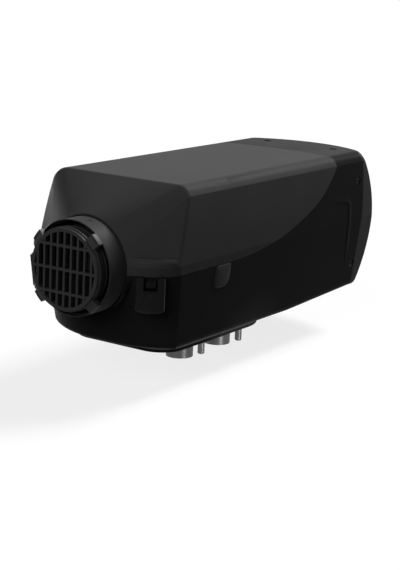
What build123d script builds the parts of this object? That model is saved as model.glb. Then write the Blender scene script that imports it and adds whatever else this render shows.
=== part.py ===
from build123d import *
import math
import os

# Diesel air heater. Millimetres. The origin is the centre of the mounting foot's lower face,
# +X points along the air flow to the outlet, -Y is the side with the blanking plug, +Z is up.

# ---- driving dimensions: stations along X ----
RIM_X = -176.0            # intake collar's rim
ROOT_X = -156.0           # where the intake collar meets the case
HOOD_X = 164.5            # seam between case and outlet hood, at the sides
BACK_X = 192.0            # the case's top runs back past this side seam
TAIL_X = 208.7            # crown of the hood's domed back
OUTLET_X = 216.5          # outlet collar's rim

# ---- case ----
AXIS_Z = 73.0             # rotor, collars and heat exchanger share this height
FLOOR_Z = 6.3             # underside of the case
TOP_Z = 138.4             # top of the case
WAIST_Z = 78.0            # widest level
STRAIGHT_Z = 88.0         # the sides stand upright from the waist to here
LEDGE_Z = 85.0            # ledge between the front band and the nose
SEAM_Z = 70.0             # level stretch of the cover's seam
HALF_WAIST = 70.0         # half width at the waist
HALF_FLOOR = 61.5         # half width at the underside, before its rounded corner
CORNER_R = 28.5           # front corners of the band, in plan
CHIN_SETBACK = 19.0       # the lower front leans back by this much down to the floor
BOW_R = 95.0              # the underside's front is a ship's bow of two arcs
BOW_FLAT = 3.0            # half width of the flat between them
CHIN_R = 7.5              # rounded lower edge
LIFT_X = 56.0             # behind here the underside rises
LIFT = 4.6                # by this much at the hood
LEDGE_R = 4.5             # rounded edge of the ledge
SHOULDER_Y = 67.6         # lower edge of the top bevel
SHOULDER_Z = 130.6
BEVEL_Y = 56.0            # upper edge of the top bevel
BEVEL_MID = (62.8, 136.3) # the bevel is slightly round
SIDE_BULGE_Y = 69.4       # the upper side bows out to here at SIDE_BULGE_Z
SIDE_BULGE_Z = 109.0
CREASE_X = -130.0         # crease between nose and side, at the ledge
CREASE_RAKE = 0.2826      # the crease leans back by this much per mm of height
CREASE_R = 4.0
NOSE_ROOT_R = 40.2        # circle in which the nose ends round the collar
SHOULDER_FAN = 26.0       # the round bevel fans out on that circle, between these angles
BEVEL_FAN = 58.0
WALL = 2.4
SEAM_GAP = 0.4

# ---- cover seam ----
SEAM_START_X = -55.0      # the seam leaves its level stretch here
SEAM_MID = (70.0, 96.0)
SEAM_END = (118.0, 133.0)
REAR_SEAM_X = 126.0       # rear seam on the top, at the middle
REAR_SEAM_SIDE = (117.5, 60.0)
HOOK_Y = 8.0              # half width of the cover's rear hook
HOOK_Z = 132.4

# ---- hood ----
DOME_PLAN_R = 115.0       # the back is round in plan
DOME_SIDE_R = 125.0       # and round in side view
DOME_Z = 73.0
LIP_R = 94.5              # the case's top ends on this circle about the dome's pivot
TONGUE = 20.0             # the hood's tongue reaches this far into the case
TONGUE_OUT = WALL + 0.15  # the tongue lies between these depths
TONGUE_IN = TONGUE_OUT + 2.0
OUTLET_R = 37.5
OUTLET_BORE_R = 35.3
NECK_R = 36.9             # the outlet passes through the hood with this radius
SPOUT_X = 204.5           # the duct's seat starts here

# ---- collar and grille ----
COLLAR_R = 38.2
COLLAR_BORE_R = 36.2
COLLAR_LIP_R = 37.3       # the bore widens to this at the rim
COLLAR_END_X = -122.0
COVER_CUT_R = 38.9
GRILLE_R = 32.4
GRILLE_WALL = 2.9
GRILLE_FRONT_X = RIM_X - 8.5
BAR_W = 2.0
BAR_DEPTH = 3.5
UPRIGHTS = 9
UPRIGHT_PITCH = 6.56
CROSSBARS = 3
CROSSBAR_PITCH = 18.4
GRILLE_BACK_X = RIM_X + 16.0
EAR_W = 10.0
EAR_R = 38.8
EAR_ANGLES = (37, 135, 225, 317)

# ---- foot, pipes and studs ----
FOOT_X = (-116.0, 54.0)
FOOT_HALF = 50.3
FOOT_FRONT_R = 22.0
FOOT_REAR_R = 48.0
GASKET_T = 2.5
FOOT_TOP_Z = 9.4
PIPE_R = 12.0
ROOT_GROW = 0.6           # pipes are thicker by this much from the foot's face up
PIPE_BORE_R = 10.6
PIPE_END_Z = -28.4
AIR_PIPE_X = -24.1
EXHAUST_X = 34.3
STUD_R = 3.0
STUD_ROOT_R = 3.4
STUD_X = 29.2
STUD_Y = 26.0
STUD_END_Z = -21.0
FUEL_X, FUEL_Y, FUEL_R, FUEL_END_Z = 5.0, 22.0, 2.5, -18.0
FUEL_ROOT_R = 3.0
FUEL_BORE_R = 1.6

# ---- blower ----
SHAFT_R = 2.5
RUN_GAP = 0.04
BEARING_R = 8.0
BEARING_W = 6.0
REAR_BEARING_X = -80.0
FAN_X = (-147.0, -125.0)
FAN_HUB_R = 12.0
FAN_R = 34.4
FAN_BLADES = 9
HOUSING_X = (-121.0, -64.0)
HOUSING_R = 38.0
STATOR_X = (-110.0, -86.0)
STATOR_R = 24.0
STATOR_BORE_R = 13.6
MAGNET_R = 13.0
IMPELLER_X = (-61.0, -53.0)
IMPELLER_R = 30.0
IMPELLER_VANES = 24

# ---- burner and heat exchanger ----
CHAMBER_X = (-40.5, -8.0)
FLANGE_X = (-6.5, -2.0)
CORE_X = (-2.0, 148.0)
CORE_R = 40.0
CORE_BORE_R = 35.5
FIN_R = 56.0
FIN_T = 2.2
FIN_COUNT = 30
FIN_X = (24.0, 146.0)
TUBE_R = 25.0
TUBE_X = (-2.0, 95.0)

GLOW_X = 8.0
AIR_PORT = (15.0, AXIS_Z - 15.0)  # combustion air passes from the blower to the burner here

# ---- control unit on top of the blower ----
MODULE_X = (-106.0, -30.0)
MODULE_HALF = 33.0
MODULE_Z = 114.5
MODULE_LID_Z = 129.0
MODULE_PADS_X = (-103.0, -74.0)

# ---- saddles on the foot: start, end and half width ----
BLOWER_SADDLE = (-82, -68, 20)
FRONT_SADDLE = (9, 15, 26)
REAR_SADDLE = (42, 48, 20)

# ---- small fittings on the shell ----
PLUG_X = (-76.8, -56.2)
PLUG_Z = 52.0
CLIP_DIR = math.degrees(math.atan2(-0.57, -0.82))
CLIP_W = 22.6
CLIP_Z = (43.0, 69.6)
SEAT_SETBACK = 9.0        # the tub of which the clips are a part leans back less than the shell
SEAT_HALF = 66.0
SEAT_R = 27.0
CLIP_FACE = 2.9           # heights of the clip's faces and its rib above that tub
CLIP_BACK = 0.9
CLIP_RIB = 3.9
CLIP_RIB_W = 1.6
CLIP_FAN = (-19.4, -0.75, 3.0)  # height and depth of the clip's flat, and its tilt in degrees
CLIP_WINDOW_W = 10.5
CLIP_WINDOW_Z = (59.8, 71.5)  # open at the top
SCREW_R = 3.2
SCREW_HOLE_R = 1.7
SCREWS_TOP = (163.2, 35.9)
SCREWS_SIDE = ((155.5, 113.2), (160.3, 34.0))
BOSS_R = 4.4


def disc(radius, x0, x1, y=0.0, z=AXIS_Z):
    """Cylinder along X from x0 to x1."""
    return extrude(Plane.YZ.offset(x0) * Pos(y, z) * Circle(radius), x1 - x0)


def ring(outer, inner, x0, x1):
    """Tube along X on the rotor's axis."""
    return disc(outer, x0, x1) - disc(inner, x0 - 1, x1 + 1)


def post(radius, x, y, z0, z1):
    """Cylinder along Z."""
    return extrude(Plane.XY.offset(z0) * Pos(x, y) * Circle(radius), z1 - z0)


def block(x0, x1, y0, y1, z0, z1):
    """Box between two corners."""
    middle = ((x0 + x1) / 2, (y0 + y1) / 2, (z0 + z1) / 2)
    return Pos(*middle) * Box(x1 - x0, y1 - y0, z1 - z0)


# ---- outer form of the case, at a distance t inside the outer surface ----
def plan_face(front, half, flat, radius, z, back=HOOD_X):
    """Plan section: a flat front, an arc on each side that ends on the straight side."""
    run = math.sqrt(max(radius ** 2 - (half - flat) ** 2, 0))
    side_x = front + radius - run
    angle = math.asin(min(1, (half - flat) / radius)) / 2
    mid_x, mid_y = front + radius * (1 - math.cos(angle)), flat + radius * math.sin(angle)
    nose = Line((front, -flat), (front, flat))
    far = ThreePointArc((front, flat), (mid_x, mid_y), (side_x, half))
    rest = Polyline((side_x, half), (back, half), (back, -half), (side_x, -half))
    near = ThreePointArc((side_x, -half), (mid_x, -mid_y), (front, -flat))
    return Plane.XY.offset(z) * make_face([nose, far, *rest.edges(), near])


def waist_face(t, back=HOOD_X):
    """Plan section at the waist."""
    return plan_face(ROOT_X + t, HALF_WAIST - t, HALF_WAIST - CORNER_R, CORNER_R - t, WAIST_Z, back)


def lower_form(t):
    """Tub below the waist: a bow in front, an underside that rises at the back, a round lower edge."""
    floor = plan_face(ROOT_X + CHIN_SETBACK + t, HALF_FLOOR - t, BOW_FLAT, BOW_R, FLOOR_Z + t)
    tub = loft([floor, waist_face(t)], ruled=True)
    low = FLOOR_Z + t
    slope = Polyline((LIFT_X, low), (HOOD_X + 1, low + LIFT), (HOOD_X + 1, -20), (LIFT_X, -20), close=True)
    tub -= extrude(Plane.XZ.offset(-90) * make_face(slope), 180)
    return fillet([e for e in tub.edges() if on_lower_edge(e.center(), low)], CHIN_R - t)


def on_lower_edge(middle, low):
    """True for the edges round the underside, without its back edge and its crease."""
    crease = abs(middle.Y) < 1 and middle.X > 0
    return middle.Z < low + LIFT + 0.2 and middle.X < HOOD_X - 1 and not crease


def seat_form(t):
    """Plainer tub of which the clips are a part; its front leans back less than the shell's."""
    flat = SEAT_HALF - SEAT_R
    floor = plan_face(ROOT_X + SEAT_SETBACK + t, SEAT_HALF - t, flat, SEAT_R - t, FLOOR_Z)
    return loft([floor, waist_face(t)], ruled=True)


def band_form(t):
    """Band between the waist and the ledge, with the ledge's rounded edge."""
    band = extrude(waist_face(t, BACK_X), LEDGE_Z - WAIST_Z - t)
    top = band.faces().sort_by(Axis.Z)[-1]
    return fillet([e for e in top.edges() if e.center().X < BACK_X - 1], LEDGE_R - 0.5 * t)


def upper_profile(t):
    """Cross-section above the waist, as a face in (y, z)."""
    half, top = HALF_WAIST - t, TOP_Z - t
    bulge = SIDE_BULGE_Y - t
    shoulder = (SHOULDER_Y - t, SHOULDER_Z - 0.4 * t)
    bevel = (BEVEL_Y - 0.3 * t, top)
    round_y, round_z = BEVEL_MID[0] - 0.6 * t, BEVEL_MID[1] - 0.8 * t
    right_wall = Line((half, WAIST_Z), (half, STRAIGHT_Z))
    right_bow = ThreePointArc((half, STRAIGHT_Z), (bulge, SIDE_BULGE_Z), shoulder)
    right_bevel = Spline(shoulder, (round_y, round_z), bevel)
    roof = Line(bevel, (-bevel[0], top))
    left_bevel = Spline((-bevel[0], top), (-round_y, round_z), (-shoulder[0], shoulder[1]))
    left_bow = ThreePointArc((-shoulder[0], shoulder[1]), (-bulge, SIDE_BULGE_Z), (-half, STRAIGHT_Z))
    left_wall = Line((-half, STRAIGHT_Z), (-half, WAIST_Z))
    base = Line((-half, WAIST_Z), (half, WAIST_Z))
    return make_face([right_wall, right_bow, right_bevel, roof, left_bevel, left_bow, left_wall, base])


def rake_plane(t):
    """Leaning plane that holds the crease between nose and sides."""
    lean = Vector(1, 0, -CREASE_RAKE).normalized()
    return Plane(origin=(CREASE_X + t, 0, LEDGE_Z), x_dir=(0, 1, 0), z_dir=lean)


def root_angle(corner):
    """Where a corner of the raked section arrives on the circle."""
    if corner.Z > SHOULDER_Z + 3:
        turn = math.radians(BEVEL_FAN)
    elif corner.Z > STRAIGHT_Z + 5:
        turn = math.radians(SHOULDER_FAN)
    else:
        turn = math.atan2(corner.Z - AXIS_Z, abs(corner.Y))
    return turn if corner.Y > 0 else math.pi - turn


def root_circle(corners, x, radius):
    """Circle round the collar, cut into one arc for each edge of the raked section."""

    def at(angle):
        return (x, radius * math.cos(angle), AXIS_Z + radius * math.sin(angle))

    arcs = []
    for here, after in zip(corners, corners[1:] + corners[:1]):
        start, end = root_angle(here), root_angle(after)
        under = max(here.Z, after.Z) < WAIST_Z + 1
        middle = -math.pi / 2 if under else (start + end) / 2
        arcs.append(ThreePointArc(at(start), at(middle), at(end)))
    return make_face(arcs)


def upper_form(t):
    """Upper part of the case with the nose that blends from square to round."""
    profile = Plane.YZ.offset(ROOT_X) * upper_profile(t)
    rake = rake_plane(t)
    body = split(extrude(profile, BACK_X - ROOT_X), bisect_by=rake, keep=Keep.TOP)
    section = body.faces().sort_by(lambda f: abs(rake.to_local_coords(f.center()).Z))[0]
    corners = [e @ 0 for e in section.outer_wire().order_edges()]
    nose = loft([section, root_circle(corners, ROOT_X + t, NOSE_ROOT_R - t)], ruled=True)
    both = body + nose
    crease = [e for e in both.edges() if on_rake(e, rake)]
    return fillet(crease, CREASE_R)


def on_rake(edge, rake):
    """True for the edges of the crease."""
    middle = edge.center()
    return abs(rake.to_local_coords(middle).Z) < 0.3 and middle.Z > WAIST_Z + 1


def case_form(t):
    """Whole case without the hood."""
    return lower_form(t) + band_form(t) + upper_form(t)


# ---- hood ----
def full_profile(t):
    """Cross-section of case and hood from floor to top, as a face in (y, z)."""
    floor = FLOOR_Z + LIFT + t
    half, waist = wall_y(FLOOR_Z + LIFT) - t, HALF_WAIST - t
    tub = make_face(Polyline((-half, floor), (half, floor), (waist, WAIST_Z), (-waist, WAIST_Z), close=True))
    tub = fillet(tub.vertices().group_by(Axis.Y)[0], CHIN_R - t)
    return tub + upper_profile(t)


def dome(t):
    """Body that is round in plan and in side view and bounds the back of the hood."""
    pivot_x = TAIL_X - DOME_PLAN_R
    side_centre = DOME_PLAN_R - DOME_SIDE_R
    lift = DOME_SIDE_R - t
    angle = math.radians(48)
    dx, dz = lift * math.cos(angle), lift * math.sin(angle)
    top = (side_centre + dx, DOME_Z + dz)
    crown = (side_centre + lift, DOME_Z)
    bottom = (side_centre + dx, DOME_Z - dz)
    arc = ThreePointArc(top, crown, bottom)
    inner = Polyline(bottom, (1, bottom[1]), (1, top[1]), top)
    half = Plane(origin=(pivot_x, 0, 0), x_dir=(1, 0, 0), z_dir=(0, -1, 0)) * make_face([arc, *inner.edges()])
    axis = Axis((pivot_x, 0, 0), (0, 0, 1))
    return revolve(half.rotate(axis, -66), axis, 132)


def hood_form(side_t, back_t, front):
    """Hood's form from a front plane to the dome, at a depth inside its sides and inside its back."""
    body = extrude(Plane.YZ.offset(front) * full_profile(side_t), TAIL_X + 5 - front)
    return body & dome(back_t)


def case_zone(gap):
    """Space in front of the hood: it ends on a plane at the sides and on a circle at the top."""
    front = block(RIM_X - 20, HOOD_X + gap, -90, 90, -20, 160)
    return front + post(LIP_R + gap, TAIL_X - DOME_PLAN_R, 0, WAIST_Z, 160)


def screw_places():
    """Place and outward direction of each hood screw."""
    x, y = SCREWS_TOP
    places = [((x, side * y, TOP_Z), (0, 0, 1)) for side in (-1, 1)]
    for x, z in SCREWS_SIDE:
        for side in (-1, 1):
            places.append(((x, side * wall_y(z), z), (0, side, 0)))
    return places


def wall_y(z):
    """Half width of the case at height z, on the upright stretches."""
    if z < WAIST_Z:
        return HALF_FLOOR + (HALF_WAIST - HALF_FLOOR) * (z - FLOOR_Z) / (WAIST_Z - FLOOR_Z)
    return SIDE_BULGE_Y - 0.3


def along(place, direction, radius, start, end):
    """Cylinder on a line from a place, between two distances along its direction."""
    base = Plane(origin=Vector(*place) + Vector(*direction) * start, z_dir=direction)
    return extrude(base * Circle(radius), end - start)


def screw_holes(radius, start, end):
    """All hood screws' holes or counterbores."""
    return [along(place, way, radius, start, end) for place, way in screw_places()]


def make_outlet_hood():
    shell = hood_form(0, 0, HOOD_X) - hood_form(TONGUE_IN, WALL, HOOD_X - 1) - case_zone(SEAM_GAP / 2)
    tongue = extrude(Plane.YZ.offset(HOOD_X - TONGUE) * full_profile(TONGUE_OUT), BACK_X - HOOD_X + TONGUE)
    tongue -= extrude(Plane.YZ.offset(HOOD_X - TONGUE) * full_profile(TONGUE_IN), BACK_X - HOOD_X + TONGUE)
    hood = shell + (tongue & dome(1))
    for boss in screw_holes(BOSS_R, -9, -TONGUE_OUT - 0.5):
        hood += boss
    hood -= disc(NECK_R, HOOD_X, OUTLET_X)
    for hole in screw_holes(SCREW_HOLE_R, -10, 1):
        hood -= hole
    return hood


def make_outlet_collar():
    """Short duct ring whose neck passes through the hood to a flange behind the wall."""
    neck = disc(NECK_R, TAIL_X - 13.8, SPOUT_X) + disc(OUTLET_R, SPOUT_X, OUTLET_X)
    flange = disc(NECK_R + 5, TAIL_X - 13.8, TAIL_X - 11.8)
    return neck + flange - disc(OUTLET_BORE_R, HOOD_X, OUTLET_X + 1) - dome_wall()


def dome_wall():
    """The hood's wall, which the collar stands clear of."""
    wall = hood_form(-0.05, -0.05, HOOD_X) - hood_form(WALL, WALL + 0.05, HOOD_X - 1)
    return wall - disc(NECK_R, HOOD_X, OUTLET_X)


def make_hood_screws():
    screws = []
    for place, way in screw_places():
        head = along(place, way, SCREW_R, -1.6, -0.3)
        shank = along(place, way, SCREW_HOLE_R - 0.1, -7.5, -1.6)
        drive = along(place, way, 1.4, -1.0, 0)
        screws.append(head + shank - drive)
    return Compound(children=screws)


# ---- cover and lower shell ----
def cover_region(dx, dz):
    """Space that belongs to the cover: above the side seam and in front of the rear seam."""
    start = (SEAM_START_X, SEAM_Z)
    level = Line((RIM_X - 20, SEAM_Z), start)
    rise = TangentArc([start, SEAM_MID], tangent=(1, 0))
    climb = TangentArc([SEAM_MID, SEAM_END], tangent=rise % 1)
    lid = Polyline(SEAM_END, (REAR_SEAM_X + 10, SEAM_END[1]), (REAR_SEAM_X + 10, 150), (RIM_X - 20, 150),
                   (RIM_X - 20, SEAM_Z))
    side = make_face([level, rise, climb, *lid.edges()])
    wide = HALF_WAIST + 5
    raised = extrude(Plane.XZ.offset(-wide) * side, 2 * wide)
    side_x, side_y = REAR_SEAM_SIDE
    slope = 2 * (REAR_SEAM_X - side_x) / side_y
    edge_x = side_x - slope * (wide - side_y)
    rear = ThreePointArc((side_x, -side_y), (REAR_SEAM_X, 0), (side_x, side_y))
    front = Polyline((side_x, side_y), (edge_x, wide), (RIM_X - 20, wide), (RIM_X - 20, -wide),
                     (edge_x, -wide), (side_x, -side_y))
    plan = extrude(make_face([rear, *front.edges()]), 200)
    return Pos(dx, 0, dz) * (raised & plan)


def make_upper_cover(walls):
    cover = walls & cover_region(-SEAM_GAP / 2, SEAM_GAP / 2)
    cover -= disc(COVER_CUT_R, RIM_X, COLLAR_END_X)
    hook = block(REAR_SEAM_X - 21, REAR_SEAM_X - 1, -HOOK_Y, HOOK_Y, HOOK_Z, TOP_Z - WALL)
    toe = block(REAR_SEAM_X - 1, REAR_SEAM_X + 5.5, -HOOK_Y, HOOK_Y, HOOK_Z, HOOK_Z + 2.8)
    return cover + hook + toe


def make_lower_shell(walls):
    shell = walls - cover_region(SEAM_GAP / 2, -SEAM_GAP / 2)
    shell -= disc(COLLAR_R, RIM_X, ROOT_X + CHIN_SETBACK + 2)
    shell -= foot_outline(FLOOR_Z - 1, FLOOR_Z + WALL + 1, -4.0)
    for side in (-1, 1):
        shell -= notch(side, 0)
    for hole in screw_holes(SCREW_HOLE_R, -8, 1):
        shell -= hole
    for sink in screw_holes(SCREW_R + 0.4, -1.6, 1):
        shell -= sink
    for side in (-1, 1):
        shell += clip_lug(side)
    return shell


# ---- blanking plug and grommet in the two side notches ----
def notch(side, gap):
    """U-shaped opening in the shell's upper edge, as a solid across the wall."""
    x0, x1 = PLUG_X[0] + gap, PLUG_X[1] - gap
    face = make_face(Polyline((x0, PLUG_Z + gap), (x1, PLUG_Z + gap), (x1, SEAM_Z), (x0, SEAM_Z), close=True))
    face = fillet(face.vertices().group_by(Axis.Y)[0], 4.5)
    return extrude(Plane.XZ.offset(-side * (HALF_WAIST - 12)) * face, -20 * side)


def seated(side):
    """Block that fills a side notch, cut to the shell's outer surface."""
    return notch(side, 0.15) & lower_form(-0.25)


def make_blanking_plug():
    return seated(-1) - lower_form(WALL + 1.2)


def make_cable_grommet():
    body = seated(1) - lower_form(WALL + 2.5)
    middle = (PLUG_X[0] + PLUG_X[1]) / 2
    return body - along((middle, HALF_WAIST, 61), (0, 1, 0), 5.5, -15, 5)


# ---- snap clips ----
def clip_frame(side):
    """Plane at the middle of a clip's top, facing outwards."""
    angle = math.radians(CLIP_DIR) * (1 if side < 0 else -1)
    out = Vector(math.cos(angle), math.sin(angle), 0)
    corner = Vector(ROOT_X + CORNER_R + 0.84, side * (HALF_WAIST - CORNER_R - 0.3), CLIP_Z[1])
    return Plane(origin=corner + out * CORNER_R, x_dir=(-out.Y, out.X, 0), z_dir=out)


def clip_outline():
    """Front view of a clip: straight sides, curved lower end."""
    drop = CLIP_Z[1] - CLIP_Z[0]
    half = CLIP_W / 2
    flare = half + 0.8
    sides = Polyline((-flare, -drop + 2), (-half, -drop + 9), (-half, 0), (half, 0), (half, -drop + 9),
                     (flare, -drop + 2))
    lower = ThreePointArc((flare, -drop + 2), (0, -drop - 1.5), (-flare, -drop + 2))
    return make_face([*sides.edges(), lower])


def clip_window():
    height = CLIP_WINDOW_Z[1] - CLIP_WINDOW_Z[0]
    middle = (CLIP_WINDOW_Z[0] + CLIP_WINDOW_Z[1]) / 2 - CLIP_Z[1]
    return Pos(0, middle) * RectangleRounded(CLIP_WINDOW_W, height, 1.0)


def clip_rib(side):
    """Narrow rib along the clip's outer edge."""
    drop = CLIP_Z[1] - CLIP_Z[0]
    out, low = CLIP_W / 2 - 0.3, CLIP_W / 2 + 0.4
    inner, low_inner = out - CLIP_RIB_W, low - CLIP_RIB_W
    points = [(inner, -0.4), (out, -0.4), (out, 9 - drop), (low, 3 - drop), (low_inner, 3 - drop), (inner, 9 - drop)]
    return make_face(Polyline(*[(-side * x, y) for x, y in points], close=True))


def clip_fan():
    """Outline of the flat below the window, which widens downwards."""
    drop = CLIP_Z[1] - CLIP_Z[0]
    top = CLIP_WINDOW_Z[0] - CLIP_Z[1] - 1.2
    return make_face(Polyline((-4.6, top), (4.6, top), (8.8, 2.6 - drop), (-8.8, 2.6 - drop), close=True))


def make_cover_clip(side):
    frame = clip_frame(side)
    skin = seat_form(-CLIP_FACE) - seat_form(-CLIP_BACK)
    clip = skin & extrude(frame * clip_outline(), 14, both=True)
    ridge = seat_form(-CLIP_RIB) - seat_form(0.5 - CLIP_FACE)
    clip += ridge & extrude(frame * clip_rib(side), 14, both=True)
    height, depth, tilt = CLIP_FAN
    front = frame * Pos(0, height, depth) * Rot(tilt, 0, 0) * Pos(0, 0, 5) * Box(30, 30, 10)
    clip -= front & extrude(frame * clip_fan(), 14, both=True)
    return clip - extrude(frame * clip_window(), 14, both=True)


def clip_lug(side):
    """Ramped catch on the shell that shows in the clip's window."""
    frame = clip_frame(side)
    middle = (CLIP_WINDOW_Z[0] + CLIP_WINDOW_Z[1]) / 2 - CLIP_Z[1]
    face = frame * Pos(0, middle - 1) * Rectangle(CLIP_WINDOW_W - 2.4, 5.0)
    skin = seat_form(-0.6) - lower_form(1.0)
    return skin & extrude(face, 12, both=True)


# ---- collar and grille ----
def make_intake_collar():
    pipe = ring(COLLAR_R, COLLAR_BORE_R, RIM_X, COLLAR_END_X) - disc(COLLAR_LIP_R, RIM_X - 1, RIM_X + 5)
    pipe = chamfer(pipe.edges().group_by(Axis.X)[0], 0.4)
    return pipe - block(RIM_X + 10.4, RIM_X + 11.6, -11, -6.5, AXIS_Z + 30, AXIS_Z + 42)


def make_intake_grille():
    back_x = GRILLE_FRONT_X + BAR_DEPTH
    rim = ring(GRILLE_R, GRILLE_R - GRILLE_WALL, GRILLE_FRONT_X, GRILLE_BACK_X)
    lip = ring(GRILLE_R + 0.9, GRILLE_R - 1, GRILLE_FRONT_X + 2.5, GRILLE_FRONT_X + 4.5)
    lip += ring(GRILLE_R + 0.6, GRILLE_R - 1, GRILLE_FRONT_X + 11, GRILLE_FRONT_X + 12.5)
    bars = None
    for i in range(UPRIGHTS):
        y = (i - (UPRIGHTS - 1) / 2) * UPRIGHT_PITCH
        bar = block(GRILLE_FRONT_X, back_x, y - BAR_W / 2, y + BAR_W / 2, AXIS_Z - 33, AXIS_Z + 33)
        bars = bar if bars is None else bars + bar
    for i in range(CROSSBARS):
        z = AXIS_Z + (i - (CROSSBARS - 1) / 2) * CROSSBAR_PITCH
        bars += block(GRILLE_FRONT_X, back_x, -33, 33, z - BAR_W / 2, z + BAR_W / 2)
    grille = rim + lip + (bars & disc(GRILLE_R - 1, GRILLE_FRONT_X, back_x))
    for angle in EAR_ANGLES:
        grille += grille_ear().rotate(Axis((0, 0, AXIS_Z), (1, 0, 0)), angle)
    return grille


def grille_ear():
    """Ear drawn along +Y: an arm that slopes back to a block on the collar's rim, and a guide in its bore."""
    inside = GRILLE_R - 1
    arm = Polyline((GRILLE_FRONT_X + 1.2, inside), (RIM_X - 5.2, EAR_R - 2.4), (RIM_X - 5.2, EAR_R + 1),
                   (RIM_X - 0.4, EAR_R + 1), (RIM_X - 0.4, inside), close=True)
    arm = extrude(Plane.XY.offset(AXIS_Z - EAR_W / 2) * make_face(arm), EAR_W)
    guide = block(RIM_X - 1, RIM_X + 12, inside, COLLAR_BORE_R, AXIS_Z - 3, AXIS_Z + 3)
    guide &= disc(COLLAR_BORE_R - 0.35, RIM_X - 1, RIM_X + 12)
    return (arm & disc(EAR_R, GRILLE_FRONT_X, RIM_X)) + guide


# ---- foot, pipes and studs ----
def foot_outline(z0, z1, grow=0.0):
    """Foot's plan form between two heights, with larger corners at its back."""
    x0, x1 = FOOT_X[0] - grow, FOOT_X[1] + grow
    half = FOOT_HALF + grow
    face = make_face(Polyline((x0, -half), (x1, -half), (x1, half), (x0, half), close=True))
    face = fillet(face.vertices().group_by(Axis.X)[0], FOOT_FRONT_R + grow)
    face = fillet(face.vertices().group_by(Axis.X)[-1], FOOT_REAR_R + grow)
    return extrude(Plane.XY.offset(z0) * face, z1 - z0)


def foot_holes(z0, z1):
    """Pipes, fuel line and studs that pass through the foot."""
    radius = PIPE_R + ROOT_GROW
    holes = post(radius, AIR_PIPE_X, 0, z0, z1) + post(radius, EXHAUST_X, 0, z0, z1)
    holes += post(FUEL_ROOT_R, FUEL_X, FUEL_Y, z0, z1)
    for x in (-STUD_X, STUD_X):
        for y in (-STUD_Y, STUD_Y):
            holes += post(STUD_ROOT_R, x, y, z0, z1)
    return holes


def saddle(x0, x1, half):
    """Upright under the blower or the heat exchanger."""
    return block(x0, x1, -half, half, FOOT_TOP_Z - 1, AXIS_Z - 10)


def make_mounting_foot():
    """Foot plate with saddles that carry the blower and the heat exchanger."""
    plate = foot_outline(GASKET_T, FLOOR_Z) + foot_outline(FLOOR_Z, FOOT_TOP_Z, -4.0)
    saddles = saddle(*BLOWER_SADDLE) + saddle(*FRONT_SADDLE) + saddle(*REAR_SADDLE)
    saddles -= disc(HOUSING_R, -90, 0)
    saddles -= disc(CORE_R, 0, 60)
    return plate + saddles - foot_holes(0, AXIS_Z)


def make_foot_gasket():
    return foot_outline(0, GASKET_T) - foot_holes(-1, GASKET_T + 1)


def make_mounting_studs():
    studs = []
    for x in (-STUD_X, STUD_X):
        for y in (-STUD_Y, STUD_Y):
            stud = chamfer(post(STUD_R, x, y, STUD_END_Z, 0).edges().group_by(Axis.Z)[0], 0.7)
            studs.append(stud + post(STUD_ROOT_R, x, y, 0, FOOT_TOP_Z))
    return Compound(children=studs)


def make_stub(x, seat_r):
    """Pipe stub from a round casting down through the foot."""
    pipe = post(PIPE_R, x, 0, PIPE_END_Z, 0) + post(PIPE_R + ROOT_GROW, x, 0, 0, AXIS_Z - 20)
    pipe -= post(PIPE_BORE_R, x, 0, PIPE_END_Z - 1, AXIS_Z)
    return pipe - disc(seat_r, x - 20, x + 20)


def make_fuel_pipe():
    pipe = post(FUEL_R, FUEL_X, FUEL_Y, FUEL_END_Z, 0) + post(FUEL_ROOT_R, FUEL_X, FUEL_Y, 0, AXIS_Z - 20)
    pipe -= post(FUEL_BORE_R, FUEL_X, FUEL_Y, FUEL_END_Z - 1, AXIS_Z)
    return pipe - disc(CORE_R, FUEL_X - 10, FUEL_X + 10)


# ---- blower ----
def make_motor_shaft():
    return disc(SHAFT_R, FAN_X[0] - 2, IMPELLER_X[1] + 1)


def make_bearing(x0):
    return ring(BEARING_R, SHAFT_R + RUN_GAP, x0, x0 + BEARING_W)


def make_rotor_magnet():
    return ring(MAGNET_R, SHAFT_R, STATOR_X[0] + 1, STATOR_X[1] - 1)


def make_motor_stator():
    """Laminated stator with six teeth."""
    stator = ring(STATOR_R, STATOR_BORE_R, *STATOR_X)
    slot = disc(3.6, STATOR_X[0] - 1, STATOR_X[1] + 1, 18.5)
    for i in range(6):
        stator -= slot.rotate(Axis((0, 0, AXIS_Z), (1, 0, 0)), 60 * i)
    return stator


def make_blower_housing():
    """Aluminium pot that holds the motor, with the side-channel seat at its back."""
    x0, x1 = HOUSING_X
    pot = disc(HOUSING_R, x0 + 8, x1 + 14) + disc(STATOR_R + 4, x0, x0 + 8)
    pot -= disc(STATOR_R, STATOR_X[0], STATOR_X[1])
    pot -= disc(STATOR_R - 3, STATOR_X[0] - 2, STATOR_X[1] + 2)
    pot -= disc(BEARING_R, x0 + 1, x0 + 1 + BEARING_W) + disc(SHAFT_R + 1.5, x0 - 1, x1 + 15)
    pot -= disc(BEARING_R, REAR_BEARING_X, REAR_BEARING_X + BEARING_W)
    pot -= disc(IMPELLER_R + 1.0, IMPELLER_X[0] - 1.5, x1 + 15)
    pads = None
    for x in MODULE_PADS_X:
        pad = block(x, x + 10, -20, 20, AXIS_Z + 34, MODULE_Z)
        pads = pad if pads is None else pads + pad
    return pot + (pads - disc(HOUSING_R, x0, x1 + 14))


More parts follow.
